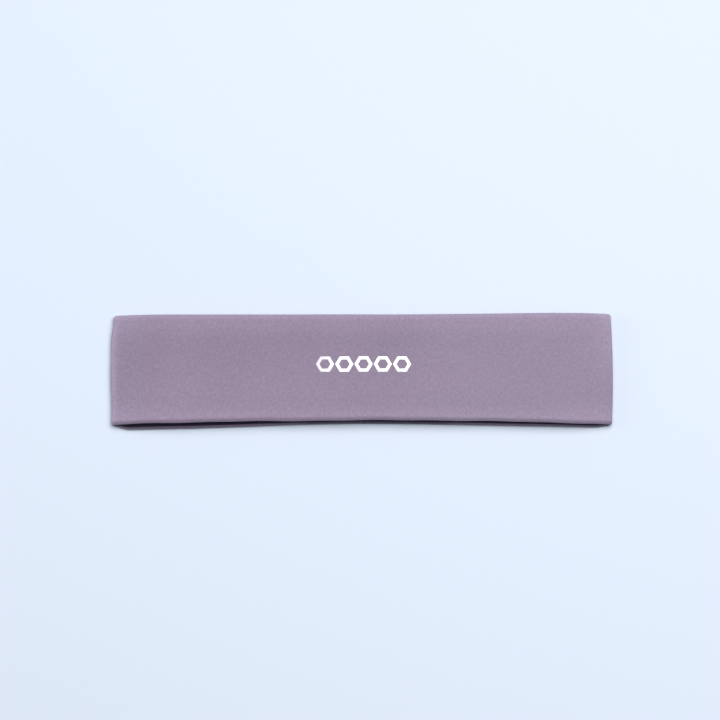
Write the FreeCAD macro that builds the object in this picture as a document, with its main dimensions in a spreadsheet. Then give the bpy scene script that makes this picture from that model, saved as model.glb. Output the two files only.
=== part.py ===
import FreeCAD, Part
import math
import os
import Sketcher

# Sports headband: a closed loop of stretch knit, lying flat with its front panel on top and its back panel
# under it. Millimetres. +X runs along the flattened band, +Y across its width towards the upper edge on the
# head, and +Z up. The origin is under the middle of the band, on the surface that it lies on.
#
# The loop is a shell strip, which makes the outside and turns back over both long edges, and a narrower
# lining strip between the turned-back edges. Each strip's ends meet in a butt joint at centre back, which is
# the middle of the back panel. Flat seam threads bridge every joint.

SIZES = {
    "flat_length": 230.0,         # from end fold to end fold, along X
    "band_width": 50.5,           # from long edge to long edge, along Y
    "stack_height": 8.2,          # from the surface to the top of the front panel, along Z
    "fold_radius": 2.2,           # outside of the tight fold at each end
    "front_run": 150.0,           # straight middle stretch of the front panel, along X
    "shell_thickness": 0.8,       # one layer of the shell's knit
    "lining_thickness": 0.7,      # one layer of the lining's knit
    "lining_width": 36.5,         # between the shell's turned-back edges
    "edge_round": 0.6,            # radius where the shell rolls over a long edge
    "loop_seam_width": 3.5,       # flat seams that run round the loop beside the lining
    "loop_seam_thickness": 0.25,
    "butt_gap": 0.2,              # between the two ends of a strip, at centre back
    "back_seam_width": 3.2,       # flat seams across the band at centre back
    "back_seam_thickness": 0.25,
    "cut_margin": 1.0,            # how far a cut starts outside the solid
    "mark_count": 5,              # pieces of film in the row on the front panel
    "mark_height": 7.3,           # across the flats of one hexagon
    "mark_stroke": 1.5,
    "mark_pitch": 8.8,
    "mark_film": 0.12,
    "mark_centre_x": 1.1,
    "mark_centre_y": 1.4,
    "label_length": 22.0,         # from its root in the seam to its fold
    "label_width": 14.0,
    "label_ply": 0.14,            # one of the label's two layers of satin
    "label_ply_gap": 0.08,
    "label_clearance": 0.15,      # to the lining under it and to the seam at its root
}
SHEET_NAME = "Sizes"
LAYERS_TO_LINING = ("shell_thickness",)
LAYERS_TO_INSIDE = ("shell_thickness", "lining_thickness")
LAYERS_TO_SEAM_TOP = ("shell_thickness", "lining_thickness", "loop_seam_thickness")
SIDES_OF_HEXAGON = 6


def cell(name):
    """The expression that reads one named size from the sheet."""
    return SHEET_NAME + "." + name


def summed(names):
    """The expression that adds up named sizes."""
    return "(" + " + ".join(cell(name) for name in names) + ")"


def make_sheet(doc):
    """The driving dimensions: a name and a number on each row, the number's alias being the name."""
    sheet = doc.addObject("Spreadsheet::Sheet", SHEET_NAME)
    for row, (name, number) in enumerate(SIZES.items(), start=1):
        sheet.set("A%d" % row, name)
        sheet.set("B%d" % row, str(number))
        sheet.setAlias("B%d" % row, name)
    doc.recompute()
    return sheet


def make_body(doc, label):
    """An empty body whose label is its node's name."""
    body = doc.addObject("PartDesign::Body", label)
    body.Label = label
    return body


def make_sketch(body, name, plane):
    """An empty sketch on one of the body's own origin planes."""
    sketch = body.newObject("Sketcher::SketchObject", name)
    planes = [feature for feature in body.Origin.OriginFeatures if feature.Role == plane]
    sketch.AttachmentSupport = (planes[0], "")
    sketch.MapMode = "FlatFace"
    return sketch


def bind(sketch, name, constraint, rule):
    """Adds a named dimension to a sketch and ties it to an expression."""
    sketch.renameConstraint(sketch.addConstraint(constraint), name)
    sketch.setExpression("Constraints." + name, rule)


def draw_loop(sketch, layers):
    """The loop's outline as deep under its outer face as the layers are thick. The back panel is a straight
    run on the surface. The front panel is a straight run in the middle with a shoulder at each side, which
    comes down to a tight fold at each end."""
    depth = sum(SIZES[name] for name in layers)
    fold_radius = SIZES["fold_radius"]
    height = SIZES["stack_height"]
    half_run = SIZES["front_run"] / 2
    fold_centre = SIZES["flat_length"] / 2 - fold_radius
    reach = fold_centre - half_run
    shoulder_radius = ((reach ** 2 + (height - fold_radius) ** 2 - fold_radius ** 2)
                       / (2 * (height - 2 * fold_radius)))
    meeting_angle = math.atan2(shoulder_radius - height + fold_radius, reach)
    across = FreeCAD.Vector(0, 0, 1)

    def line(start_x, start_z, end_x, end_z):
        return sketch.addGeometry(
            Part.LineSegment(FreeCAD.Vector(start_x, start_z, 0), FreeCAD.Vector(end_x, end_z, 0)))

    def arc(centre_x, centre_z, radius, start_angle, end_angle):
        circle = Part.Circle(FreeCAD.Vector(centre_x, centre_z, 0), across, radius - depth)
        return sketch.addGeometry(Part.ArcOfCircle(circle, start_angle, end_angle))

    right_fold = arc(fold_centre, fold_radius, fold_radius, -math.pi / 2, meeting_angle)
    right_shoulder = arc(half_run, height - shoulder_radius, shoulder_radius, meeting_angle, math.pi / 2)
    top = line(half_run, height - depth, -half_run, height - depth)
    left_shoulder = arc(-half_run, height - shoulder_radius, shoulder_radius, math.pi / 2,
                        math.pi - meeting_angle)
    left_fold = arc(-fold_centre, fold_radius, fold_radius, math.pi - meeting_angle, 3 * math.pi / 2)
    bottom = line(-fold_centre, depth, fold_centre, depth)
    outline = [right_fold, right_shoulder, top, left_shoulder, left_fold, bottom]
    for piece, following in zip(outline, outline[1:] + outline[:1]):
        sketch.addConstraint(Sketcher.Constraint("Tangent", piece, 2, following, 1))
    sketch.addConstraint(Sketcher.Constraint("Symmetric", left_fold, 3, right_fold, 3, -2))
    sketch.addConstraint(Sketcher.Constraint("Symmetric", top, 1, top, 2, -2))
    sketch.addConstraint(Sketcher.Constraint("Equal", right_fold, left_fold))
    depth_rule = summed(layers) if layers else "0"
    tag = "at_depth_%d_" % len(layers)
    bind(sketch, tag + "fold_x", Sketcher.Constraint("DistanceX", -1, 1, right_fold, 3, fold_centre),
         cell("flat_length") + " / 2 - " + cell("fold_radius"))
    bind(sketch, tag + "fold_z", Sketcher.Constraint("DistanceY", -1, 1, right_fold, 3, fold_radius),
         cell("fold_radius"))
    bind(sketch, tag + "fold_radius", Sketcher.Constraint("Radius", right_fold, fold_radius - depth),
         cell("fold_radius") + " - " + depth_rule)
    bind(sketch, tag + "front_run", Sketcher.Constraint("DistanceX", top, 2, top, 1, 2 * half_run),
         cell("front_run"))
    bind(sketch, tag + "top", Sketcher.Constraint("DistanceY", -1, 1, top, 1, height - depth),
         cell("stack_height") + " - " + depth_rule)


def draw_slot(sketch, width_name, depth_names):
    """A rectangle on the sketch's vertical axis, from a margin under the band up through the named layers."""
    half = SIZES[width_name] / 2
    low = -SIZES["cut_margin"]
    high = sum(SIZES[name] for name in depth_names)
    corners = [(-half, low), (half, low), (half, high), (-half, high)]
    sides = []
    for start, end in zip(corners, corners[1:] + corners[:1]):
        sides.append(sketch.addGeometry(
            Part.LineSegment(FreeCAD.Vector(*start, 0), FreeCAD.Vector(*end, 0))))
    for side, following in zip(sides, sides[1:] + sides[:1]):
        sketch.addConstraint(Sketcher.Constraint("Coincident", side, 2, following, 1))
    bottom, right, top, left = sides
    sketch.addConstraint(Sketcher.Constraint("Horizontal", top))
    for side in (right, left):
        sketch.addConstraint(Sketcher.Constraint("Vertical", side))
    sketch.addConstraint(Sketcher.Constraint("Symmetric", bottom, 1, bottom, 2, -2))
    bind(sketch, "slot_width", Sketcher.Constraint("DistanceX", bottom, 1, bottom, 2, 2 * half),
         cell(width_name))
    bind(sketch, "slot_floor", Sketcher.Constraint("DistanceY", bottom, 1, -1, 1, -low), cell("cut_margin"))
    bind(sketch, "slot_ceiling", Sketcher.Constraint("DistanceY", -1, 1, top, 1, high), summed(depth_names))


def draw_hexagon(sketch, name, across_flats, rule):
    """A hexagon round the sketch's origin, with flats above and below, tied to its circle of corners."""
    radius = across_flats / math.sqrt(3)
    circle = sketch.addGeometry(
        Part.Circle(FreeCAD.Vector(0, 0, 0), FreeCAD.Vector(0, 0, 1), radius), True)
    sketch.addConstraint(Sketcher.Constraint("Coincident", circle, 3, -1, 1))
    turn = 2 * math.pi / SIDES_OF_HEXAGON
    corners = []
    for index in range(SIDES_OF_HEXAGON):
        corners.append(FreeCAD.Vector(radius * math.cos(index * turn), radius * math.sin(index * turn), 0))
    sides = []
    for start, end in zip(corners, corners[1:] + corners[:1]):
        sides.append(sketch.addGeometry(Part.LineSegment(start, end)))
    for side, following in zip(sides, sides[1:] + sides[:1]):
        sketch.addConstraint(Sketcher.Constraint("Coincident", side, 2, following, 1))
        sketch.addConstraint(Sketcher.Constraint("PointOnObject", side, 1, circle))
    for side in sides[1:]:
        sketch.addConstraint(Sketcher.Constraint("Equal", sides[0], side))
    sketch.addConstraint(Sketcher.Constraint("Horizontal", sides[1]))
    bind(sketch, name, Sketcher.Constraint("Radius", circle, radius), rule + " / sqrt(3)")


def draw_hairpin(sketch):
    """The folded label seen from its side: two plies joined by a fold at the free end, open at the root."""
    root = SIZES["back_seam_width"] / 2 + SIZES["label_clearance"]
    outer = SIZES["label_ply"] + SIZES["label_ply_gap"] / 2
    inner = SIZES["label_ply_gap"] / 2
    fold = root + SIZES["label_length"] - outer
    middle = SIZES["shell_thickness"] + SIZES["lining_thickness"] + SIZES["label_clearance"] + outer
    across = FreeCAD.Vector(0, 0, 1)
    centre = FreeCAD.Vector(fold, middle, 0)

    def line(start_x, start_z, end_x, end_z):
        return sketch.addGeometry(
            Part.LineSegment(FreeCAD.Vector(start_x, start_z, 0), FreeCAD.Vector(end_x, end_z, 0)))

    def half_circle(radius):
        return sketch.addGeometry(
            Part.ArcOfCircle(Part.Circle(centre, across, radius), -math.pi / 2, math.pi / 2))

    under = line(root, middle - outer, fold, middle - outer)
    outer_fold = half_circle(outer)
    over = line(fold, middle + outer, root, middle + outer)
    upper_root = line(root, middle + outer, root, middle + inner)
    upper_inside = line(root, middle + inner, fold, middle + inner)
    inner_fold = half_circle(inner)
    lower_inside = line(fold, middle - inner, root, middle - inner)
    lower_root = line(root, middle - inner, root, middle - outer)
    sketch.addConstraint(Sketcher.Constraint("Tangent", under, 2, outer_fold, 1))
    sketch.addConstraint(Sketcher.Constraint("Tangent", outer_fold, 2, over, 1))
    sketch.addConstraint(Sketcher.Constraint("Coincident", over, 2, upper_root, 1))
    sketch.addConstraint(Sketcher.Constraint("Coincident", upper_root, 2, upper_inside, 1))
    sketch.addConstraint(Sketcher.Constraint("Tangent", upper_inside, 2, inner_fold, 2))
    sketch.addConstraint(Sketcher.Constraint("Tangent", inner_fold, 1, lower_inside, 1))
    sketch.addConstraint(Sketcher.Constraint("Coincident", lower_inside, 2, lower_root, 1))
    sketch.addConstraint(Sketcher.Constraint("Coincident", lower_root, 2, under, 1))
    sketch.addConstraint(Sketcher.Constraint("Coincident", inner_fold, 3, outer_fold, 3))
    for edge in (under, over, upper_inside, lower_inside):
        sketch.addConstraint(Sketcher.Constraint("Horizontal", edge))
    for edge in (upper_root, lower_root):
        sketch.addConstraint(Sketcher.Constraint("Vertical", edge))
    sketch.addConstraint(Sketcher.Constraint("Vertical", over, 2, under, 1))
    root_rule = cell("back_seam_width") + " / 2 + " + cell("label_clearance")
    outer_rule = cell("label_ply") + " + " + cell("label_ply_gap") + " / 2"
    bind(sketch, "root_x", Sketcher.Constraint("DistanceX", -1, 1, under, 1, root), root_rule)
    bind(sketch, "fold_x", Sketcher.Constraint("DistanceX", under, 1, under, 2, fold - root),
         cell("label_length") + " - (" + outer_rule + ")")
    bind(sketch, "underside", Sketcher.Constraint("DistanceY", -1, 1, under, 1, middle - outer),
         summed(LAYERS_TO_INSIDE + ("label_clearance",)))
    bind(sketch, "outer_radius", Sketcher.Constraint("Radius", outer_fold, outer), outer_rule)
    bind(sketch, "inner_radius", Sketcher.Constraint("Radius", inner_fold, inner),
         cell("label_ply_gap") + " / 2")


def pad(body, sketch, rule, side="Symmetric"):
    """Thickens a sketch, to both sides of its plane unless told otherwise."""
    feature = body.newObject("PartDesign::Pad", sketch.Name + "_pad")
    feature.Profile = sketch
    feature.SideType = side
    feature.setExpression("Length", rule)
    return feature


def cut(body, sketch, rule):
    """Cuts a sketch out of the body, to both sides of its plane."""
    feature = body.newObject("PartDesign::Pocket", sketch.Name + "_cut")
    feature.Profile = sketch
    feature.SideType = "Symmetric"
    feature.setExpression("Length", rule)
    return feature


def make_ring(doc, label, outer_layers, inner_layers, width_rule):
    """A body that goes all the way round the loop, between two depths."""
    body = make_body(doc, label)
    profile = make_sketch(body, label + "_profile", "XZ_Plane")
    draw_loop(profile, outer_layers)
    draw_loop(profile, inner_layers)
    pad(body, profile, width_rule)
    doc.recompute()
    return body


def cut_butt_joint(doc, body, width_rule):
    """Parts a strip at centre back, where its two ends meet."""
    slot = make_sketch(body, body.Name + "_butt", "XZ_Plane")
    draw_slot(slot, "butt_gap", LAYERS_TO_SEAM_TOP)
    cut(body, slot, width_rule)
    doc.recompute()


def round_long_edges(doc, body):
    """Rolls every edge that runs round the loop at the two long edges of the band."""
    half_width = SIZES["band_width"] / 2
    rims = []
    for number, edge in enumerate(body.Shape.Edges, start=1):
        box = edge.BoundBox
        if box.YLength < 0.001 and abs(abs(box.Center.y) - half_width) < 0.001:
            rims.append("Edge%d" % number)
    ring = body.Tip
    fillet = body.newObject("PartDesign::Fillet", body.Name + "_rolled_edges")
    fillet.Base = (ring, rims)
    fillet.setExpression("Radius", cell("edge_round"))
    doc.recompute()


def make_outer_shell(doc):
    """The shell: full width, hollowed for the lining, parted at centre back with a bed for its seam."""
    body = make_ring(doc, "outer_shell", (), LAYERS_TO_INSIDE, cell("band_width"))
    round_long_edges(doc, body)
    recess = make_sketch(body, "lining_recess", "XZ_Plane")
    draw_loop(recess, LAYERS_TO_LINING)
    cut(body, recess, cell("lining_width"))
    doc.recompute()
    through = cell("band_width") + " + " + cell("cut_margin")
    cut_butt_joint(doc, body, through)
    bed = make_sketch(body, "back_seam_bed", "XZ_Plane")
    draw_slot(bed, "back_seam_width", ("back_seam_thickness",))
    cut(body, bed, through)
    return body


def make_inner_lining(doc):
    """The lining: fills the shell's recess and is parted at centre back."""
    body = make_ring(doc, "inner_lining", LAYERS_TO_LINING, LAYERS_TO_INSIDE, cell("lining_width"))
    cut_butt_joint(doc, body, cell("lining_width") + " + " + cell("cut_margin"))
    return body


def make_loop_seam(doc, label, side):
    """Seam thread round the whole loop, over the joint of shell and lining on one side (+1 or -1 in Y)."""
    body = make_ring(doc, label, LAYERS_TO_INSIDE, LAYERS_TO_SEAM_TOP, cell("loop_seam_width"))
    body.setExpression("Placement.Base.y", "%d * %s / 2" % (side, cell("lining_width")))
    return body


def make_back_seam(doc, label, layers_under, length_rule):
    """Seam thread across the band at centre back, on top of the named layers of the back panel."""
    seam = doc.addObject("Part::Box", label)
    seam.Label = label
    seam.setExpression("Length", cell("back_seam_width"))
    seam.setExpression("Width", length_rule)
    seam.setExpression("Height", cell("back_seam_thickness"))
    seam.setExpression("Placement.Base.x", "-" + cell("back_seam_width") + " / 2")
    seam.setExpression("Placement.Base.y", "-(" + length_rule + ") / 2")
    if layers_under:
        seam.setExpression("Placement.Base.z", summed(layers_under))
    return seam


def make_reflective_mark(doc):
    """The film on the front panel: a row of separate hexagon outlines, all alike."""
    body = make_body(doc, "reflective_mark")
    body.AllowCompound = True
    outline = make_sketch(body, "hexagon_outline", "XY_Plane")
    draw_hexagon(outline, "outside", SIZES["mark_height"], cell("mark_height"))
    draw_hexagon(outline, "inside", SIZES["mark_height"] - 2 * SIZES["mark_stroke"],
                 "(" + cell("mark_height") + " - 2 * " + cell("mark_stroke") + ")")
    film = pad(body, outline, cell("mark_film"), "One side")
    doc.recompute()
    row = body.newObject("PartDesign::LinearPattern", "hexagon_row")
    row.Originals = [film]
    row.Direction = (outline, ["H_Axis"])
    row.setExpression("Length", "(" + cell("mark_count") + " - 1) * " + cell("mark_pitch"))
    row.setExpression("Occurrences", cell("mark_count"))
    body.Tip = row
    body.setExpression("Placement.Base.x", cell("mark_centre_x") + " - (" + cell("mark_count")
                       + " - 1) * " + cell("mark_pitch") + " / 2")
    body.setExpression("Placement.Base.y", cell("mark_centre_y"))
    body.setExpression("Placement.Base.z", cell("stack_height"))
    return body


def make_care_label(doc):
    """A blank folded label that lies on the lining beside the back seam, which holds both its ends."""
    body = make_body(doc, "care_label")
    side_view = make_sketch(body, "label_side_view", "XZ_Plane")
    draw_hairpin(side_view)
    pad(body, side_view, cell("label_width"))
    return body


def check(doc, nodes):
    """Stops on a failed object, a bad shape or a cut that took nothing away."""
    for item in doc.Objects:
        if "Invalid" in item.State or "Error" in item.State:
            raise RuntimeError(item.Name + " failed: " + ", ".join(item.State))
        if item.TypeId == "Sketcher::SketchObject" and not item.FullyConstrained:
            raise RuntimeError(item.Name + " isn't fully constrained")
        if item.TypeId == "PartDesign::Pocket":
            removed = item.BaseFeature.Shape.Volume - item.Shape.Volume
            if removed < 0.001:
                raise RuntimeError(item.Name + " cut nothing")
    for node in nodes:
        if node.Shape.isNull() or not node.Shape.isValid() or not node.Shape.Solids:
            raise RuntimeError(node.Label + " has no valid solid")


def main():
    doc = FreeCAD.newDocument("sports_headband")
    make_sheet(doc)
    visible_seam_rule = cell("band_width") + " - 2 * " + cell("edge_round")
    between_loop_seams_rule = cell("lining_width") + " - " + cell("loop_seam_width")
    nodes = [
        make_outer_shell(doc),
        make_inner_lining(doc),
        make_loop_seam(doc, "upper_lining_seam", 1),
        make_loop_seam(doc, "lower_lining_seam", -1),
        make_back_seam(doc, "shell_back_seam", (), visible_seam_rule),
        make_back_seam(doc, "lining_back_seam", LAYERS_TO_INSIDE, between_loop_seams_rule),
        make_reflective_mark(doc),
        make_care_label(doc),
    ]
    doc.recompute()
    check(doc, nodes)
    os.makedirs("parts", exist_ok=True)
    for node in nodes:
        node.Shape.exportStep("parts/" + node.Label + ".step")
        box = node.Shape.BoundBox
        print("%-18s solids %d  volume %9.1f  x %.2f %.2f  y %.2f %.2f  z %.2f %.2f" % (
            node.Label, len(node.Shape.Solids), node.Shape.Volume,
            box.XMin, box.XMax, box.YMin, box.YMax, box.ZMin, box.ZMax))


main()
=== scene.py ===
import math

import bmesh
import bpy
import numpy as np
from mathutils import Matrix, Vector


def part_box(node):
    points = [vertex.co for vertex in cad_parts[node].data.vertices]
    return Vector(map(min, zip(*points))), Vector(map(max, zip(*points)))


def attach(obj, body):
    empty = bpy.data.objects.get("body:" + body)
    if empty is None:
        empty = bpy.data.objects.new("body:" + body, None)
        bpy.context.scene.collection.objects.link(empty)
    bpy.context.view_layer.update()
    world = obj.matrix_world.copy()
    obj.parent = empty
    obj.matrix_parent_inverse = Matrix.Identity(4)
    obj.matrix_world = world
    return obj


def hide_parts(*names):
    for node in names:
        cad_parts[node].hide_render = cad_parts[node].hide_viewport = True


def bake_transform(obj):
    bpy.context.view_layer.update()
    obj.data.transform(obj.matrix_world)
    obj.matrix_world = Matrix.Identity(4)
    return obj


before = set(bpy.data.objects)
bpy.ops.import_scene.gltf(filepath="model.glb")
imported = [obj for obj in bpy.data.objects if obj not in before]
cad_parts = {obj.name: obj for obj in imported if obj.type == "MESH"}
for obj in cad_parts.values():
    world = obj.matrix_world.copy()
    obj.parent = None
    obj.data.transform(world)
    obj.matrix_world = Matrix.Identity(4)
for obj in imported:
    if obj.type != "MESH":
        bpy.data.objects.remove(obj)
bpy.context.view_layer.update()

# A stretch-knit sports headband lying flat. Metres throughout, in the CAD frame: +X along the flattened band,
# +Y across it, +Z up. Every soft piece is laid out on one map of the loop: a point is so far along the loop
# from centre back, so far across it, and so deep under its outer face.

MM = 0.001

# ---- sizes of the CAD model ----
shell_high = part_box("outer_shell")[1]
lining_low, lining_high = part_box("inner_lining")
loop_seam_low, loop_seam_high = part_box("upper_lining_seam")
back_seam_low, back_seam_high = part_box("shell_back_seam")
lining_seam_low, lining_seam_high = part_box("lining_back_seam")
mark_low, mark_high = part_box("reflective_mark")
label_low, label_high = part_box("care_label")

HALF_LENGTH = shell_high[0]
HALF_WIDTH = shell_high[1]
HEIGHT = mark_low[2]
SHELL_LAYER = lining_low[2]
PANEL = lining_seam_low[2]
LINING_HALF_WIDTH = lining_high[1]
SEAM_THICKNESS = lining_seam_high[2] - lining_seam_low[2]
LOOP_SEAM_HALF_WIDTH = (loop_seam_high[1] - loop_seam_low[1]) / 2
BACK_SEAM_HALF_WIDTH = back_seam_high[0]
FOLD_RADIUS = 2.2 * MM           # outside of the fold at each end, as in the CAD
FRONT_HALF_RUN = 75.0 * MM       # straight middle of the front panel, as in the CAD

FOLD_X = HALF_LENGTH - FOLD_RADIUS
SHOULDER_REACH = FOLD_X - FRONT_HALF_RUN
SHOULDER_RADIUS = ((SHOULDER_REACH ** 2 + (HEIGHT - FOLD_RADIUS) ** 2 - FOLD_RADIUS ** 2)
                   / (2 * (HEIGHT - 2 * FOLD_RADIUS)))
SHOULDER_Z = HEIGHT - SHOULDER_RADIUS
MEETING = math.atan2(FOLD_RADIUS - SHOULDER_Z, SHOULDER_REACH)
DOWN, UP = -math.pi / 2, math.pi / 2

# The outer face of the loop, from centre back towards +X and round. Each stretch: length, centre x at its
# start and at its end, centre z, radius, direction out of the cloth at its start and end, and how much of it
# belongs to the front panel at its start and end.
STRETCHES = np.array((
    (FOLD_X, 0.0, FOLD_X, FOLD_RADIUS, FOLD_RADIUS, DOWN, DOWN, 0, 0),
    (FOLD_RADIUS * (MEETING - DOWN), FOLD_X, FOLD_X, FOLD_RADIUS, FOLD_RADIUS, DOWN, MEETING, 0, 1),
    (SHOULDER_RADIUS * (UP - MEETING), FRONT_HALF_RUN, FRONT_HALF_RUN, SHOULDER_Z, SHOULDER_RADIUS,
     MEETING, UP, 1, 1),
    (2 * FRONT_HALF_RUN, FRONT_HALF_RUN, -FRONT_HALF_RUN, SHOULDER_Z, SHOULDER_RADIUS, UP, UP, 1, 1),
    (SHOULDER_RADIUS * (UP - MEETING), -FRONT_HALF_RUN, -FRONT_HALF_RUN, SHOULDER_Z, SHOULDER_RADIUS,
     UP, math.pi - MEETING, 1, 1),
    (FOLD_RADIUS * (MEETING - DOWN), -FOLD_X, -FOLD_X, FOLD_RADIUS, FOLD_RADIUS,
     math.pi - MEETING, 3 * UP, 1, 0),
    (FOLD_X, -FOLD_X, 0.0, FOLD_RADIUS, FOLD_RADIUS, 3 * UP, 3 * UP, 0, 0),
))
ENDS = np.cumsum(STRETCHES[:, 0])
LOOP = ENDS[-1]
FRONT_MIDDLE = LOOP / 2
BUTT_HALF_GAP = 0.01 * MM

# ---- how the cloth lies ----
LOWER_EDGE_AT_ENDS = -0.55 * MM  # the lower long edge bows up between the ends
LOWER_EDGE_BOW = 1.65 * MM
LOWER_EDGE_POWER = 1.5
LOWER_EDGE_RIGHT_LIFT = 0.25 * MM
LOWER_EDGE_HUMP = 0.28 * MM      # and rises a little more round one place
HUMP_X = 48 * MM
HUMP_REACH = 32 * MM
LOWER_EDGE_RIPPLES = ((0.12 * MM, 9.5 * MM, 0.6), (0.08 * MM, 4.1 * MM, 0.0))   # height, reach and phase
UPPER_EDGE_LEFT = 0.15 * MM
UPPER_EDGE_RIGHT = 1.05 * MM
LEFT_INSET_UP = 1.1              # millimetres by which the left end fold is drawn in at its upper corner
LEFT_INSET_DOWN = 0.7            # and at its lower corner
RIGHT_BULGE = 0.6                # millimetres by which the right end fold bulges between its corners
BACK_SHOWS_LEFT = 1.9 * MM       # how far the back panel stands out under the front one
BACK_SHOWS_RIGHT = 0.85 * MM
BACK_SHOWS_MIDDLE = 0.6 * MM
EDGE_BEAD = 0.14 * MM            # the rolled long edges stand proud of the panel by this much
CREASE_DEPTH = 0.10 * MM         # a faint crease runs along both long edges
CREASE_INSET = 1.1 * MM
CREASE_REACH = 0.45 * MM
EDGE_DROOP = 1.0 * MM            # the front panel's long edges hang lower than its middle
EDGE_WAVE = 0.12 * MM            # and rise and fall by about this much
HEM_EXTRA = 1.0 * MM             # the turned-back edges make the panel this much thicker at its long edges
LINING_CROWN = 0.06 * MM

# soft dips and rises of the front panel: place, reach and height in millimetres
FRONT_RELIEF = (
    (-103, 4, 14, 16, -0.30),
    (-60, 7, 17, 20, -0.26),
    (-28, 15, 15, 13, -0.28),
    (12, 13, 17, 15, -0.32),
    (6, -12, 20, 9, -0.05),
    (-84, -12, 20, 12, 0.16),
    (-42, -13, 18, 11, 0.14),
    (46, -4, 24, 18, 0.14),
    (80, 14, 14, 12, 0.14),
    (104, 12, 9, 14, 0.25),
)


def smooth(value):
    """0 below 0, 1 above 1, and a smooth step between."""
    value = np.clip(value, 0.0, 1.0)
    return value * value * (3.0 - 2.0 * value)


def ramp(value, start, end):
    """0 before start, 1 past end, and a smooth step between."""
    return smooth((value - start) / (end - start))


def relief(x, y):
    """Height of the soft dips and rises of the front panel at x, y, in metres."""
    total = np.zeros_like(x)
    for place_x, place_y, reach_x, reach_y, height in FRONT_RELIEF:
        away = ((x / MM - place_x) / reach_x) ** 2 + ((y / MM - place_y) / reach_y) ** 2
        total = total + height * MM * np.exp(-away)
    return total


def lower_edge_shift(x, front):
    """How far the lower long edge lies from its straight CAD line at x. front is 1 on the front panel and 0
    on the back panel."""
    along = np.clip(x / HALF_LENGTH, -1.0, 1.0)
    bow = LOWER_EDGE_AT_ENDS + LOWER_EDGE_BOW * (1.0 - np.abs(along) ** LOWER_EDGE_POWER)
    ripple = sum(height * np.sin(x / reach + phase) for height, reach, phase in LOWER_EDGE_RIPPLES)
    hump = LOWER_EDGE_HUMP * np.exp(-((x - HUMP_X) / HUMP_REACH) ** 2)
    lift = LOWER_EDGE_RIGHT_LIFT * ramp(along, 2 / 3, 1.0)
    to_left = (BACK_SHOWS_LEFT - BACK_SHOWS_MIDDLE) * ramp(-along, 0.0, 0.75)
    to_right = (BACK_SHOWS_RIGHT - BACK_SHOWS_MIDDLE) * ramp(along, 0.15, 0.6)
    shows = (BACK_SHOWS_MIDDLE + to_left + to_right) * ramp(HALF_LENGTH - np.abs(x), 0.5 * MM, 9.5 * MM)
    return bow + (ripple + lift + hump) * front - shows * (1.0 - front)


def end_inset(x, across):
    """How far the end folds are drawn in at x from their straight CAD lines: the left one at its corners, and
    the right one less than nothing between its corners, where it bulges."""
    up = across / MM
    left = LEFT_INSET_UP * ramp(up, 13, 25) + LEFT_INSET_DOWN * ramp(-up, 0, 22)
    right = RIGHT_BULGE * (((up - 1) / 22) ** 2 - 1)
    return np.where(x < 0, left, right) * MM * ramp(np.abs(x), 85 * MM, 115 * MM)


def lay(distance, across, depth):
    """Points of the band as it lies: distance along the loop, place across it and depth under its outer face,
    as arrays of one shape, become an array of points."""
    distance, across, depth = np.broadcast_arrays(distance, across, depth)
    around = np.mod(distance, LOOP)
    index = np.clip(np.searchsorted(ENDS, around, side="right"), 0, len(ENDS) - 1)
    length, x_from, x_to, centre_z, radius, turn_from, turn_to, front_from, front_to = STRETCHES[index].T
    share = (around - (ENDS[index] - length.T)) / length.T
    centre_x = x_from.T + (x_to - x_from).T * share
    angle = turn_from.T + (turn_to - turn_from).T * share
    front = smooth(front_from.T + (front_to - front_from).T * share)

    open_span = ramp(HALF_LENGTH - np.abs(centre_x), 3 * MM, 31 * MM)
    depth = np.minimum(depth, PANEL) + np.maximum(depth - PANEL, 0.0) * open_span
    outer_share = 1.0 - ramp(depth, 0.0, PANEL)
    from_edge = HALF_WIDTH - np.abs(across)
    sunk = EDGE_BEAD * ramp(from_edge, 1.5 * MM, 4.5 * MM)
    crease = CREASE_DEPTH * np.exp(-((from_edge - CREASE_INSET) / CREASE_REACH) ** 2) * open_span
    from_back = np.minimum(around, LOOP - around)
    bed = SEAM_THICKNESS * (1.0 - ramp(from_back, BACK_SEAM_HALF_WIDTH, BACK_SEAM_HALF_WIDTH + 0.3 * MM))
    bed = bed * ramp(from_edge, 0.3 * MM, 0.8 * MM)
    reach = radius.T - depth - (sunk + crease + bed) * outer_share
    x = centre_x + reach * np.cos(angle)
    x = x - np.sign(x) * end_inset(x, across)
    z = centre_z.T + reach * np.sin(angle)

    down = (HALF_WIDTH - across) / (2 * HALF_WIDTH)
    to_right = ramp(x, 0.05 * HALF_LENGTH, 1.05 * HALF_LENGTH)
    upper = UPPER_EDGE_LEFT + (UPPER_EDGE_RIGHT - UPPER_EDGE_LEFT) * to_right
    y = across + lower_edge_shift(x, front) * down ** 2 + upper * (1.0 - down) ** 2

    from_end = HALF_LENGTH - np.abs(x)
    phase = np.where(across < 0, 0.4, 2.1)
    wave = np.sin(x / (17 * MM) + phase) + 0.5 * np.sin(x / (7.3 * MM) + across / (9 * MM))
    near_edge = 1.0 - ramp(from_edge, 0.0, 12 * MM)
    droop = (EDGE_DROOP - EDGE_WAVE * wave) * near_edge * ramp(from_end, 6 * MM, 38 * MM)
    z = z + (relief(x, y) * ramp(from_end, 0.0, 14 * MM) - droop) * front
    return np.stack((x, y, z), axis=-1)


# ---- mesh builders ----

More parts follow.
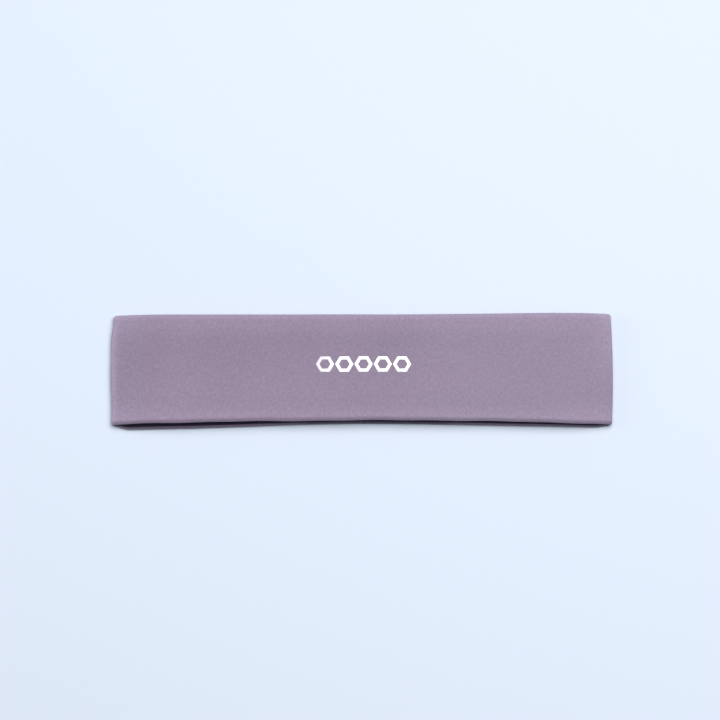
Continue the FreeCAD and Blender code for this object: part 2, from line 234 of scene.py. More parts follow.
def new_object(name, points, faces, uvs=None):
    """A smooth-shaded mesh object with its faces pointing outward. uvs holds one pair per face corner."""
    mesh = bpy.data.meshes.new(name)
    mesh.from_pydata([tuple(point) for point in points], [], [tuple(face) for face in faces])
    if uvs is not None:
        layer = mesh.uv_layers.new(name="cloth_mm")
        layer.data.foreach_set("uv", np.asarray(uvs, dtype=np.float32).ravel())
    work = bmesh.new()
    work.from_mesh(mesh)
    bmesh.ops.recalc_face_normals(work, faces=work.faces)
    work.to_mesh(mesh)
    work.free()
    mesh.polygons.foreach_set("use_smooth", [True] * len(mesh.polygons))
    mesh.update()
    piece = bpy.data.objects.new(name, mesh)
    bpy.context.scene.collection.objects.link(piece)
    return piece


def grid_faces(rows, columns):
    """Four-cornered faces of a grid of points, row by row, whose last column is joined to its first, and the
    row and column of each of their corners."""
    faces = []
    corners = []
    for row in range(rows - 1):
        for column in range(columns):
            following = (column + 1) % columns
            faces.append((row * columns + column, (row + 1) * columns + column,
                          (row + 1) * columns + following, row * columns + following))
            corners.append(((row, column), (row + 1, column), (row + 1, column + 1), (row, column + 1)))
    return faces, corners


def loop_stations(start, end):
    """Distances along the loop for the rows of a strip, close together round the tight end folds and beside
    the seam at centre back."""
    run_step = 1.5 * MM
    fold_step = 0.3 * MM
    seam_step = 0.2 * MM
    limits = [start, *ENDS[:-1], end]
    rows = []
    for low, high, stretch in zip(limits, limits[1:], STRETCHES):
        step = fold_step if stretch[4] == FOLD_RADIUS and stretch[5] != stretch[6] else run_step
        rows.extend(np.linspace(low, high, max(2, round((high - low) / step)), endpoint=False))
    near_seam = np.arange(1, 13) * seam_step
    rows.extend(start + near_seam)
    rows.extend(end - near_seam)
    return np.unique(rows + [end])


def strip(name, profile, start, end):
    """A closed cross-section, a list of (across, depth), swept along the loop and closed at both ends. The
    cross-section starts and ends in the middle of the strip's hidden side, so that its UV map, in
    millimetres, has 0 in the middle of the side that shows."""
    stations = loop_stations(start, end)
    profile = np.array(profile)
    rows, columns = len(stations), len(profile)
    points = lay(stations[:, None], profile[None, :, 0], profile[None, :, 1]).reshape(-1, 3)
    sides = np.linalg.norm(np.diff(profile, axis=0, append=profile[:1]), axis=1)
    girth = np.concatenate(([0.0], np.cumsum(sides)))
    girth -= girth[-1] / 2
    faces, corners = grid_faces(rows, columns)
    uvs = [(stations[row] / MM, girth[column] / MM) for face in corners for row, column in face]
    for row in (0, rows - 1):
        faces.append([row * columns + column for column in range(columns)])
        uvs.extend((stations[row] / MM, girth[column] / MM) for column in range(columns))
    return new_object(name, points, faces, uvs)


def line(start, end, count):
    """Points of a cross-section on a straight line, without its last point."""
    return [tuple(point) for point in np.linspace(start, end, count, endpoint=False)]


def arc(centre_across, centre_depth, radius, from_degrees, to_degrees, count):
    """Points of a cross-section on an arc. 0 degrees points to +across, and 90 out of the outer face."""
    angles = np.radians(np.linspace(from_degrees, to_degrees, count))
    return [(centre_across + radius * math.cos(angle), centre_depth - radius * math.sin(angle))
            for angle in angles]


def thread(place, along, sideways, lift, radius, sides=6):
    """Points, faces and UVs of a round thread. place(along, sideways, lift) gives the points of the cloth
    that the thread follows; the three arrays say where it runs."""
    path = place(along, sideways, lift)
    nearby = 0.1 * MM
    normals = place(along, sideways, lift + nearby) - place(along, sideways, lift - nearby)
    tangents = np.gradient(path, axis=0)
    tangents /= np.linalg.norm(tangents, axis=1)[:, None]
    outward = np.cross(tangents, normals)
    outward /= np.linalg.norm(outward, axis=1)[:, None]
    upward = np.cross(outward, tangents)
    turns = np.linspace(0, 2 * math.pi, sides, endpoint=False)
    ring = (np.cos(turns)[None, :, None] * upward[:, None, :]
            + np.sin(turns)[None, :, None] * outward[:, None, :])
    points = (path[:, None, :] + radius * ring).reshape(-1, 3)
    rows = len(path)
    faces, corners = grid_faces(rows, sides)
    travelled = np.concatenate(([0.0], np.cumsum(np.linalg.norm(np.diff(path, axis=0), axis=1)))) / MM
    uvs = [(travelled[row], column / sides) for face in corners for row, column in face]
    for row in (0, rows - 1):
        faces.append([row * sides + side for side in range(sides)])
        uvs.extend((travelled[row], side / sides) for side in range(sides))
    return points, faces, uvs


def joined(name, parts):
    """One object of several sets of points, faces and UVs."""
    points, faces, uvs = [], [], []
    for part_points, part_faces, part_uvs in parts:
        offset = len(points)
        points.extend(part_points)
        faces.extend([index + offset for index in face] for face in part_faces)
        uvs.extend(part_uvs)
    return new_object(name, points, faces, uvs)


# ---- the pieces ----

def hem_depth(across):
    """Depth of the turned-back edge's inner face: the hem is thicker towards the long edge."""
    return PANEL + HEM_EXTRA * ramp(across - LINING_HALF_WIDTH, 0.8 * MM, 5.3 * MM)


def make_shell():
    """The shell: outer face, rolled long edges, turned-back edges and the bed of the lining."""
    roll = (PANEL + HEM_EXTRA) / 2
    roll_centre = HALF_WIDTH - roll
    past_crease = roll_centre - 2 * MM
    half = line((0.0, SHELL_LAYER), (LINING_HALF_WIDTH, SHELL_LAYER), 7)
    half += line((LINING_HALF_WIDTH, SHELL_LAYER), (LINING_HALF_WIDTH, PANEL), 2)
    half += [(across, hem_depth(across)) for across in np.linspace(LINING_HALF_WIDTH, roll_centre, 9)[:-1]]
    half += arc(roll_centre, roll, roll, -90, 90, 15)[:-1]
    half += line((roll_centre, 0.0), (past_crease, 0.0), 5)
    half += line((past_crease, 0.0), (0.0, 0.0), 27)
    mirrored = [(-across, depth) for across, depth in half[:0:-1]]
    profile = half + [(0.0, 0.0)] + mirrored
    return strip("shell_cloth", profile, BUTT_HALF_GAP, LOOP - BUTT_HALF_GAP)


def make_lining():
    """The lining: a flat strip of knit between the turned-back edges, a little crowned."""
    edge = LINING_HALF_WIDTH - 0.05 * MM
    bed = SHELL_LAYER + 0.02 * MM
    face = [(across, PANEL + LINING_CROWN * (1 - (across / edge) ** 2))
            for across in np.linspace(edge, -edge, 31)]
    profile = line((0.0, bed), (edge, bed), 7) + [(edge, bed)] + face + line((-edge, bed), (0.0, bed), 7)
    return strip("lining_cloth", profile, BUTT_HALF_GAP, LOOP - BUTT_HALF_GAP)


THREAD_RADIUS = 0.11 * MM
STITCH_SAMPLES = 8               # points of a thread in each stitch
LOOP_STITCH = 2.3 * MM
BACK_STITCH = 2.0 * MM


def flat_seam(name, place, length, half_width, stitch):
    """A flat overlock seam: a row of stitches along each side, and two looper threads that lace between
    them."""
    stitches = round(length / stitch)
    steps = np.arange(stitches * STITCH_SAMPLES + 1) / STITCH_SAMPLES
    along = steps * length / stitches
    parts = []
    for side in (-1, 1):
        sideways = side * (half_width - 1.6 * THREAD_RADIUS) + 0.05 * MM * np.sin(2 * math.pi * steps)
        lift = THREAD_RADIUS * (0.2 + 0.9 * np.abs(np.sin(math.pi * steps)))
        parts.append(thread(place, along, sideways, lift, THREAD_RADIUS))
    wide = (half_width - 1.2 * THREAD_RADIUS) * np.clip(1.25 * np.cos(2 * math.pi * steps), -1.0, 1.0)
    narrow = 0.55 * half_width * np.cos(2 * math.pi * (steps + 0.5))
    for sideways, lift, thickness in ((wide, 1.1, 0.9), (narrow, 0.5, 0.8)):
        lifts = np.full_like(along, lift * THREAD_RADIUS)
        parts.append(thread(place, along, sideways, lifts, thickness * THREAD_RADIUS))
    return joined(name, parts)


def make_loop_seam(name, side):
    """The seam round the loop over one edge of the lining: side is 1 for the upper edge, -1 for the lower."""
    def place(along, sideways, lift):
        return lay(along, side * LINING_HALF_WIDTH + sideways, PANEL + lift)
    return flat_seam(name, place, LOOP - 0.2 * MM, LOOP_SEAM_HALF_WIDTH, LOOP_STITCH)


def make_shell_back_seam():
    """The seam over the shell's butt joint, let into the outside of the back panel."""
    start = back_seam_low[1] + 0.3 * MM

    def place(along, sideways, lift):
        return lay(sideways, start + along, -lift)
    return flat_seam("shell_back_stitching", place, -2 * start, BACK_SEAM_HALF_WIDTH, BACK_STITCH)


def make_lining_back_seam():
    """The seam over the lining's butt joint, on the inside of the back panel."""
    start = lining_seam_low[1]

    def place(along, sideways, lift):
        return lay(sideways, start + along, PANEL + LINING_CROWN + lift)
    return flat_seam("lining_back_stitching", place, -2 * start, BACK_SEAM_HALF_WIDTH, BACK_STITCH)


MARK_COUNT = 5
MARK_STROKE = 1.5 * MM
MARK_CORNER = 0.35 * MM
FILM_LIFT = 0.10 * MM
FILM_BEVEL = 0.04 * MM
FILM_SINKS = 0.03 * MM           # the film's underside lies this far under the face of the cloth
CORNER_POINTS = 5
SIDE_POINTS = 5


def hexagon(apothem, corner):
    """Points of a hexagon with flats above and below and rounded corners, anticlockwise."""
    reach = (apothem - corner) / math.cos(math.pi / 6)
    half_turn = math.pi / 6
    corners = []
    for index in range(6):
        turn = index * math.pi / 3
        corners.append([(reach * math.cos(turn) + corner * math.cos(turn + step),
                         reach * math.sin(turn) + corner * math.sin(turn + step))
                        for step in np.linspace(-half_turn, half_turn, CORNER_POINTS)])
    points = []
    for points_here, points_next in zip(corners, corners[1:] + corners[:1]):
        side = np.linspace(points_here[-1], points_next[0], SIDE_POINTS, endpoint=False)[1:]
        points.extend(points_here)
        points.extend(tuple(between) for between in side)
    return np.array(points)


def make_mark():
    """The reflective film: a row of hexagon outlines pressed on to the front panel."""
    apothem = (mark_high[1] - mark_low[1]) / 2
    half_cell = apothem / math.cos(math.pi / 6)
    middle_y = (mark_high[1] + mark_low[1]) / 2
    inner = apothem - MARK_STROKE
    rows = ((apothem, -FILM_SINKS), (apothem, FILM_LIFT - FILM_BEVEL), (apothem - FILM_BEVEL, FILM_LIFT),
            (apothem - 3 * FILM_BEVEL, FILM_LIFT), (inner + 3 * FILM_BEVEL, FILM_LIFT),
            (inner + FILM_BEVEL, FILM_LIFT), (inner, FILM_LIFT - FILM_BEVEL), (inner, -FILM_SINKS))
    parts = []
    for centre_x in np.linspace(mark_low[0] + half_cell, mark_high[0] - half_cell, MARK_COUNT):
        points = []
        flat = []
        for size, lift in rows:
            corner = MARK_CORNER if size > inner + MARK_STROKE / 2 else MARK_CORNER / 2
            outline = hexagon(size, corner) + (centre_x, middle_y)
            points.append(lay(FRONT_MIDDLE - outline[:, 0], outline[:, 1], -lift))
            flat.append(outline)
        columns = len(points[0])
        faces, corners = grid_faces(len(rows), columns)
        last = len(rows) - 1
        under = last * columns
        for column in range(columns):
            following = (column + 1) % columns
            faces.append((under + column, column, following, under + following))
            corners.append(((last, column), (0, column), (0, column + 1), (last, column + 1)))
        uvs = [flat[row][column % columns] / MM for face in corners for row, column in face]
        parts.append((np.concatenate(points), faces, uvs))
    return joined("reflective_film", parts)


LABEL_ROOT = 1.0 * MM            # the label's ends are caught this far from the middle of the back seam
LABEL_HALF_PLY = 0.055 * MM
LABEL_FOLD_RADIUS = 0.13 * MM    # middle of the ribbon where it folds
LABEL_LIFT_AT_FOLD = 0.18 * MM   # the fold lifts off the lining, most at its upper corner
LABEL_CUP = 0.10 * MM            # the ribbon's long edges curl up
LABEL_RIPPLE = 0.03 * MM         # and it waves faintly along its length


def make_label():
    """The care label: a blank satin ribbon folded in two, its ends caught in the lining's back seam."""
    fold_x = label_high[0] - 0.25 * MM
    low_z = label_low[2] + 0.06 * MM
    high_z = low_z + 2 * LABEL_FOLD_RADIUS
    lower = [(x, low_z) for x in np.linspace(LABEL_ROOT, fold_x, 26)]
    turn = [(fold_x + LABEL_FOLD_RADIUS * math.sin(angle), low_z + LABEL_FOLD_RADIUS * (1 - math.cos(angle)))
            for angle in np.linspace(0, math.pi, 9)[1:-1]]
    upper = [(x, high_z) for x in np.linspace(fold_x, LABEL_ROOT, 26)]
    middle = np.array(lower + turn + upper)
    tangents = np.gradient(middle, axis=0)
    tangents /= np.linalg.norm(tangents, axis=1)[:, None]
    normals = np.stack((-tangents[:, 1], tangents[:, 0]), axis=1)
    side = np.concatenate((middle + LABEL_HALF_PLY * normals, (middle - LABEL_HALF_PLY * normals)[::-1]))
    travelled = np.concatenate(([0.0], np.cumsum(np.linalg.norm(np.diff(middle, axis=0), axis=1))))
    travelled = np.concatenate((travelled, travelled[::-1]))
    half_width = label_high[1] - 0.1 * MM
    across = np.linspace(-half_width, half_width, 21)
    rows = len(across)
    columns = len(side)
    out = np.clip((side[:, 0] - LABEL_ROOT) / (fold_x - LABEL_ROOT), 0.0, 1.0)
    ripple = LABEL_RIPPLE * np.sin(side[:, 0] / (2.9 * MM)) * out
    points = []
    for y in across:
        curl = LABEL_LIFT_AT_FOLD * out ** 2 * (1.0 + 0.5 * y / half_width)
        cup = LABEL_CUP * out * (y / half_width) ** 2
        points.append(np.stack((side[:, 0], np.full(columns, y), side[:, 1] + curl + cup + ripple), axis=-1))
    faces, corners = grid_faces(rows, columns)
    wrapped = np.append(travelled, travelled[0])
    uvs = [(wrapped[column] / MM, across[row] / MM) for face in corners for row, column in face]
    for row in (0, rows - 1):
        for column in range(columns // 2 - 1):
            mate = columns - 1 - column
            ring = (column, column + 1, mate - 1, mate)
            faces.append([row * columns + index for index in ring])
            uvs.extend((wrapped[index] / MM, across[row] / MM) for index in ring)
    return new_object("blank_label", np.concatenate(points), faces, uvs)


# ---- materials ----

class Nodes:
    """A node material with a Principled shader, and short ways to add nodes and wire them."""

    def __init__(self, name, roughness, specular, sheen=0.0, sheen_roughness=0.5):
        self.material = bpy.data.materials.new(name)
        self.material.use_nodes = True
        self.tree = self.material.node_tree
        self.tree.nodes.clear()
        output = self.tree.nodes.new("ShaderNodeOutputMaterial")
        self.shader = self.tree.nodes.new("ShaderNodeBsdfPrincipled")
        self.tree.links.new(self.shader.outputs[0], output.inputs["Surface"])
        self.shader.inputs["Roughness"].default_value = roughness
        self.shader.inputs["Specular IOR Level"].default_value = specular
        self.shader.inputs["Sheen Weight"].default_value = sheen
        self.shader.inputs["Sheen Roughness"].default_value = sheen_roughness

    def add(self, kind, **settings):
        node = self.tree.nodes.new(kind)
        for key, value in settings.items():
            setattr(node, key, value)
        return node

    def feed(self, socket, value):
        """Links a socket, or sets it to a plain number, vector or colour."""
        if isinstance(value, bpy.types.NodeSocket):
            self.tree.links.new(value, socket)
        else:
            socket.default_value = value

    def math(self, operation, *values, clamp=False):
        node = self.add("ShaderNodeMath", operation=operation, use_clamp=clamp)
        for socket, value in zip(node.inputs, values):
            self.feed(socket, value)
        return node.outputs[0]

    def scaled(self, value, low, high, to_low, to_high):
        """A value carried from one range to another, smoothly, and held at the ends."""
        node = self.add("ShaderNodeMapRange", interpolation_type="SMOOTHSTEP")
        for socket, number in zip(node.inputs, (value, low, high, to_low, to_high)):
            self.feed(socket, number)
        return node.outputs[0]

    def uv(self):
        """U and V of the piece's own map, in millimetres."""
        source = self.add("ShaderNodeUVMap", uv_map="cloth_mm")
        split = self.add("ShaderNodeSeparateXYZ")
        self.feed(split.inputs[0], source.outputs[0])
        return split.outputs[0], split.outputs[1]

    def vector(self, x, y, z=0.0):
        node = self.add("ShaderNodeCombineXYZ")
        for socket, value in zip(node.inputs, (x, y, z)):
            self.feed(socket, value)
        return node.outputs[0]

    def noise(self, vector, scale, detail=2.0, roughness=0.5):
        """Noise from about 0 to 1 with features 1 / scale wide."""
        node = self.add("ShaderNodeTexNoise")
        self.feed(node.inputs["Vector"], vector)
        node.inputs["Scale"].default_value = scale
        node.inputs["Detail"].default_value = detail
        node.inputs["Roughness"].default_value = roughness
        return node.outputs[0]

    def mix(self, share, first, second):
        """One colour at share 0 and the other at share 1."""
        node = self.add("ShaderNodeMix", data_type="RGBA")
        self.feed(node.inputs[0], share)
        self.feed(node.inputs[6], first)
        self.feed(node.inputs[7], second)
        return node.outputs[2]

    def attribute(self, name):
        """A number that the mesh carries at its points."""
        return self.add("ShaderNodeAttribute", attribute_name=name).outputs["Fac"]

    def brightness(self, colour, factor):
        """A colour times a number."""
        node = self.add("ShaderNodeVectorMath", operation="SCALE")
        self.feed(node.inputs[0], colour)
        self.feed(node.inputs["Scale"], factor)
        return node.outputs[0]

    def bump(self, height, distance, strength=1.0):
        node = self.add("ShaderNodeBump")
        node.inputs["Strength"].default_value = strength
        node.inputs["Distance"].default_value = distance
        self.feed(node.inputs["Height"], height)
        self.feed(self.shader.inputs["Normal"], node.outputs[0])

    def paint(self, piece):
        piece.data.materials.clear()
        piece.data.materials.append(self.material)


WALE = 0.62                      # width of one column of stitches, in millimetres
COURSE = 0.46                    # height of one row of stitches
WARP_PITCH = 0.18                # of the label's satin
WEFT_PITCH = 0.30
UPPER_RIM_HIGHLIGHT = (21.8, 24.3)         # painted highlight: the face is lighter here, across the cloth from the middle of its face
INSIDE_SHADE_SPAN = (27.0, 27.8)        # where the face gives way to the wrong side, painted dark plum as painted shade

LILAC = (0.336, 0.267, 0.377, 1.0)
COOL_LILAC = (0.338, 0.277, 0.384, 1.0)
SHEEN_TINT = (0.86, 0.84, 1.0, 1.0)
# painted shade: the dark plum of the wrong side, inside the loop
INSIDE_SHADE_PLUM = (0.032, 0.026, 0.050)
LINING_PLUM = (0.062, 0.046, 0.078)
THREAD_LILAC = (0.24, 0.185, 0.265)
FILM_SILVER = (0.93, 0.93, 0.96, 1.0)
# painted shade: the greyer silver of the film's left tip
FILM_SHADED_TIP = (0.60, 0.56, 0.68, 1.0)
SATIN_WHITE = (0.84, 0.84, 0.86)
FLOOR_BLUE = (0.775, 0.868, 1.0)
SURROUND_BLUE = (0.84, 0.92, 1.0, 1.0)


def stitch_grid(nodes, u, v):
    """Distance from the middle of the column of stitches, from 0 to 1, and a number that counts the V-shaped
    stitches up the column."""
    column = nodes.math("FRACT", nodes.math("DIVIDE", u, WALE))
    from_middle = nodes.math("ABSOLUTE", nodes.math("MULTIPLY_ADD", column, 2.0, -1.0))
    return from_middle, nodes.math("MULTIPLY_ADD", from_middle, 0.55, nodes.math("DIVIDE", v, COURSE))


def knit_height(nodes, u, v):
    """Height from 0 to 1 of plain jersey: columns of V-shaped stitches that run across the band."""
    from_middle, slanted = stitch_grid(nodes, u, v)
    row = nodes.math("FRACT", slanted)
    across_row = nodes.math("MULTIPLY_ADD", row, 2.0, -1.0)
    strand = nodes.math("SUBTRACT", 1.0, nodes.math("MULTIPLY", across_row, across_row))
    across_leg = nodes.math("MULTIPLY_ADD", from_middle, 2.0, -1.0)
    leg = nodes.math("SUBTRACT", 1.0, nodes.math("MULTIPLY", across_leg, across_leg))
    return nodes.math("MULTIPLY_ADD", strand, 0.45, nodes.math("MULTIPLY", leg, 0.55))


def stitch_tone(nodes, u, v, amount):
    """A number near 1 that differs a little from one stitch to the next, and along columns."""
    column = nodes.math("FLOOR", nodes.math("DIVIDE", u, WALE))
    row = nodes.math("FLOOR", stitch_grid(nodes, u, v)[1])
    each = nodes.add("ShaderNodeTexWhiteNoise", noise_dimensions="2D")
    nodes.feed(each.inputs["Vector"], nodes.vector(column, row))
    patch = nodes.noise(nodes.vector(u, nodes.math("MULTIPLY", v, 0.6)), 0.9, 3.0, 0.7)
    total = nodes.math("ADD", nodes.math("MULTIPLY_ADD", each.outputs[0], 0.7, -0.35),
                       nodes.math("MULTIPLY_ADD", patch, 2.4, -1.2))
    return nodes.math("MULTIPLY_ADD", total, amount, 1.0)


def shell_material():
    """Lilac-grey matte jersey. The wrong side, which shows only inside the loop, is painted dark plum as
    painted shade. The mesh carries the soft differences of the outer face, as add_tone says."""
    nodes = Nodes("shell_jersey", 0.9, 0.12, sheen=0.22, sheen_roughness=0.45)
    nodes.shader.inputs["Sheen Tint"].default_value = SHEEN_TINT
    u, v = nodes.uv()
    height = knit_height(nodes, u, v)
    relief_tone = nodes.math("MULTIPLY_ADD", height, 0.26, 0.845)
    # painted highlight: the face lightens towards its upper rolled edge
    upper_rim_highlight = nodes.scaled(nodes.math("MULTIPLY", v, -1.0), *UPPER_RIM_HIGHLIGHT, 1.0, 1.1)
    tone = nodes.math("MULTIPLY", nodes.math("MULTIPLY", nodes.attribute("tone"), relief_tone),
                      stitch_tone(nodes, u, v, 0.18))
    # painted shade along the lower edge and on the back panel's hem
    shade = nodes.math("MULTIPLY", nodes.attribute("turned"), upper_rim_highlight)
    face = nodes.mix(nodes.attribute("cool"), LILAC, COOL_LILAC)
    outside = nodes.brightness(face, nodes.math("MULTIPLY", tone, shade))
    # painted shade: past the rolled edges the cloth is painted dark plum
    inward = nodes.scaled(nodes.math("ABSOLUTE", v), *INSIDE_SHADE_SPAN, 0.0, 1.0)
    inside_shade = nodes.brightness(INSIDE_SHADE_PLUM, relief_tone)
    nodes.feed(nodes.shader.inputs["Base Color"], nodes.mix(inward, outside, inside_shade))
    nodes.bump(height, 0.0001, 0.7)
    return nodes


def lining_material():
    """Brushed jersey in dark plum."""
    nodes = Nodes("lining_jersey", 0.95, 0.08, sheen=0.15)
    u, v = nodes.uv()
    height = knit_height(nodes, u, v)
    fuzz = nodes.noise(nodes.vector(u, v), 3.0, 4.0, 0.7)
    tone = nodes.math("MULTIPLY_ADD", fuzz, 0.5, nodes.math("MULTIPLY_ADD", height, 0.3, 0.6))
    nodes.feed(nodes.shader.inputs["Base Color"], nodes.brightness(LINING_PLUM, tone))
    nodes.bump(nodes.math("ADD", height, fuzz), 0.0001, 0.5)
    return nodes


def thread_material():
    """Twisted polyester thread: fine slanting plies."""
    nodes = Nodes("twisted_thread", 0.6, 0.3, sheen=0.1)
    u, v = nodes.uv()
    ply = nodes.math("SINE", nodes.math("MULTIPLY", nodes.math("MULTIPLY_ADD", u, 2.2, v), 4 * math.pi))
    tone = nodes.math("MULTIPLY_ADD", ply, 0.12, 0.95)
    nodes.feed(nodes.shader.inputs["Base Color"], nodes.brightness(THREAD_LILAC, tone))
    nodes.bump(ply, 0.00003, 0.7)
    return nodes


def film_material():
    """Silver-white reflective transfer film: the knit prints through it, fine beads give it grain, and its
    left tip is painted greyer, a painted shade where it reflects less light."""
    nodes = Nodes("reflective_transfer", 0.38, 0.6)
    nodes.shader.inputs["Metallic"].default_value = 0.25
    nodes.shader.inputs["Coat Weight"].default_value = 0.3
    nodes.shader.inputs["Coat Roughness"].default_value = 0.25
    u, v = nodes.uv()
    height = knit_height(nodes, u, v)
    beads = nodes.noise(nodes.vector(u, v), 9.0, 2.0, 0.6)
    left_tip = mark_low[0] / MM
    # painted shade: the film greys towards its left tip
    tip_shade = nodes.scaled(nodes.math("MULTIPLY_ADD", v, -0.35, u), left_tip + 1.0, left_tip + 8.5, 1.0, 0.0)
    colour = nodes.mix(tip_shade, FILM_SILVER, FILM_SHADED_TIP)
    tone = nodes.math("MULTIPLY_ADD", beads, 0.10, nodes.math("MULTIPLY_ADD", height, 0.04, 0.93))
    nodes.feed(nodes.shader.inputs["Base Color"], nodes.brightness(colour, tone))
    nodes.bump(nodes.math("MULTIPLY_ADD", beads, 0.4, height), 0.00002, 0.5)
    return nodes


def label_material():
    """White satin ribbon: long floats across a fine warp, with a firmer woven edge."""
    nodes = Nodes("label_satin", 0.38, 0.45, sheen=0.1)
    nodes.shader.inputs["Anisotropic"].default_value = 0.5
    u, v = nodes.uv()
    warp = nodes.math("SINE", nodes.math("MULTIPLY", u, 2 * math.pi / WARP_PITCH))
    slanted = nodes.math("MULTIPLY_ADD", u, 0.4, v)
    weft = nodes.math("SINE", nodes.math("MULTIPLY", slanted, 2 * math.pi / WEFT_PITCH))
    weave = nodes.math("MULTIPLY_ADD", nodes.math("MULTIPLY", warp, weft), 0.25, 0.5)
    half_width = label_high[1] / MM
    edge = nodes.scaled(nodes.math("ABSOLUTE", v), half_width - 1.1, half_width - 0.6, 0.0, 1.0)
    tone = nodes.math("MULTIPLY_ADD", weave, 0.10, nodes.math("MULTIPLY_ADD", edge, -0.08, 0.92))
    nodes.feed(nodes.shader.inputs["Base Color"], nodes.brightness(SATIN_WHITE, tone))
    nodes.bump(nodes.math("MULTIPLY_ADD", edge, 0.6, weave), 0.00003, 0.5)
    return nodes


def add_tone(shell):
    """Gives the shell its soft differences: painted highlights over the turned-back edges, round the left
    fold and at the right end, and darker in the dips (tone); painted shade in the crease of the lower edge,
    where it rolls under and on the back panel's hem (turned), and a slightly cooler hue towards the ends
    (cool)."""
    mesh = shell.data
    places = np.empty(len(mesh.vertices) * 3)
    mesh.vertices.foreach_get("co", places)
    x, y, z = places.reshape(-1, 3).T

    # painted highlight over the turned-back edges
    hem_highlight = 0.11 * ramp(np.abs(y), HALF_WIDTH / 2, HALF_WIDTH)
    downward = 0.03 * y / HALF_WIDTH
    in_dips = 0.16 * relief(x, y) / MM
    # painted highlight at the upper right end
    right_end_highlight = 0.14 * ramp(x, 0.9 * HALF_LENGTH, HALF_LENGTH) * ramp(y, -HALF_WIDTH / 2, HALF_WIDTH / 2)
    # painted highlight round the left fold
    left_fold_highlight = 0.38 * ramp(-x, 109 * MM, 115 * MM) ** 2
    upper_left = 0.06 * ramp(-x, 90 * MM, 110 * MM) * ramp(y, 0.0, HALF_WIDTH)
    tone = 0.965 + hem_highlight - downward + in_dips + right_end_highlight + left_fold_highlight + upper_left

    cool = np.maximum(ramp(x, -HALF_LENGTH, HALF_LENGTH), ramp(-x, 95 * MM, 107 * MM))

    # painted shade along the lower long edge: in its crease, where it rolls under, and over the back panel's
    # hem, darker near the floor and under the middle of the front panel
    above_edge = y + HALF_WIDTH - lower_edge_shift(x, 1.0)
    crease = 0.28 * np.exp(-((above_edge - 0.82 * MM) / (0.55 * MM)) ** 2)
    rolled_under_shade = 0.25 * (1.0 - ramp(above_edge, -0.3 * MM, 0.5 * MM))
    near_floor_shade = 0.2 * (1.0 - np.clip(np.abs(z - 0.9 * MM) / (0.9 * MM), 0.0, 1.0))
    front_panel_shadow = 0.2 * (1.0 - ramp(np.abs(x - 6 * MM), 26 * MM, 40 * MM))
    back_hem_shade = (0.48 + near_floor_shade + front_panel_shadow) * (1.0 - ramp(above_edge, -0.15 * MM, 0.95 * MM))
    on_front = ramp(z, 2.5 * MM, 3 * MM)
    turned = 1.0 - (crease + rolled_under_shade) * on_front - back_hem_shade * (1.0 - on_front)

    for name, values in (("tone", tone), ("cool", cool), ("turned", turned)):
        attribute = mesh.attributes.new(name, "FLOAT", "POINT")
        attribute.data.foreach_set("value", values.astype(np.float32))


# ---- stage, light and camera ----

def make_floor():
    """A plain pale blue floor."""
    half = 6.0
    corners = [(-half, -half, 0), (half, -half, 0), (half, half, 0), (-half, half, 0)]
    floor = new_object("floor", corners, [(0, 1, 2, 3)])
    nodes = Nodes("floor_paper", 0.9, 0.1)
    place = nodes.add("ShaderNodeTexCoord").outputs["Object"]
    grain = nodes.math("MULTIPLY_ADD", nodes.noise(place, 900.0, 2.0), 0.02, 0.99)
    nodes.feed(nodes.shader.inputs["Base Color"], nodes.brightness(FLOOR_BLUE, grain))
    nodes.paint(floor)


def add_lamp(name, place, size, energy, colour):
    """A soft rectangular lamp at a place, aimed at the middle of the band."""
    light = bpy.data.lights.new(name, "AREA")
    light.shape = "RECTANGLE"
    light.size, light.size_y = size
    light.energy = energy
    light.color = colour
    lamp = bpy.data.objects.new(name, light)
    lamp.location = place
    lamp.rotation_euler = (-Vector(place)).to_track_quat("-Z", "Y").to_euler()
    bpy.context.scene.collection.objects.link(lamp)


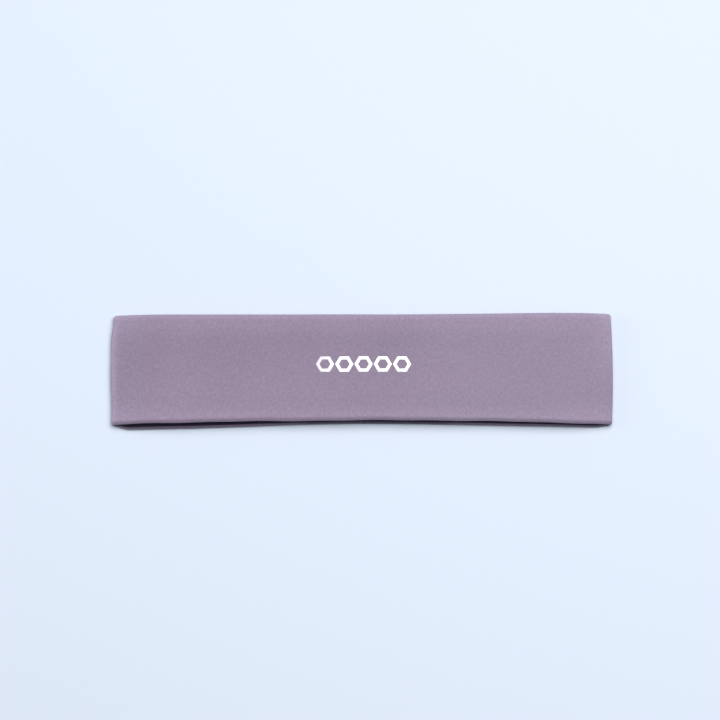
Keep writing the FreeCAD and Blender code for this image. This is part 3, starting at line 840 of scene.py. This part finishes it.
def make_light():
    """A large softbox overhead, weak ones low on the left and right, and a faint blue surround."""
    add_lamp("overhead_softbox", (0.3, 0.34, 1.4), size=(1.6, 1.2), energy=23.5, colour=(1.0, 0.98, 0.97))
    add_lamp("left_softbox", (-1.2, 0.1, 0.45), size=(0.8, 0.6), energy=3.5, colour=(1.0, 0.99, 0.98))
    add_lamp("right_softbox", (1.2, 0.0, 0.5), size=(0.8, 0.6), energy=1.0, colour=(1.0, 0.90, 0.82))
    world = bpy.data.worlds.new("studio")
    world.use_nodes = True
    background = world.node_tree.nodes["Background"]
    background.inputs["Color"].default_value = SURROUND_BLUE
    background.inputs["Strength"].default_value = 0.15
    bpy.context.scene.world = world
    bpy.context.scene.view_settings.view_transform = "Standard"


def make_camera():
    """Almost straight down, leaning a little towards the lower long edge."""
    tilt = math.radians(12)
    distance = 1.6
    field = 0.330
    target_x, target_y, target_z = -0.5 * MM, 4.4 * MM, 4.1 * MM
    camera_data = bpy.data.cameras.new("camera")
    camera_data.sensor_width = 36.0
    camera_data.lens = camera_data.sensor_width * distance / field
    camera = bpy.data.objects.new("camera", camera_data)
    camera.location = (target_x, target_y - distance * math.sin(tilt), target_z + distance * math.cos(tilt))
    camera.rotation_euler = (tilt, 0, 0)
    bpy.context.scene.collection.objects.link(camera)
    bpy.context.scene.camera = camera


def stand_in(piece, node, nodes):
    """A piece of the band's own body that shows in place of one CAD node."""
    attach(piece, "band")
    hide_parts(node)
    nodes.paint(piece)


def main():
    make_camera()
    make_light()
    make_floor()
    thread_nodes = thread_material()
    shell = make_shell()
    add_tone(shell)
    stand_in(shell, "outer_shell", shell_material())
    lining = make_lining()
    stand_in(lining, "inner_lining", lining_material())
    for node, side in (("upper_lining_seam", 1), ("lower_lining_seam", -1)):
        stand_in(make_loop_seam(node + "_thread", side), node, thread_nodes)
    stand_in(make_shell_back_seam(), "shell_back_seam", thread_nodes)
    stand_in(make_lining_back_seam(), "lining_back_seam", thread_nodes)
    stand_in(make_mark(), "reflective_mark", film_material())
    label = make_label()
    label_material().paint(label)
    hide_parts("care_label")
    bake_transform(label)


main()
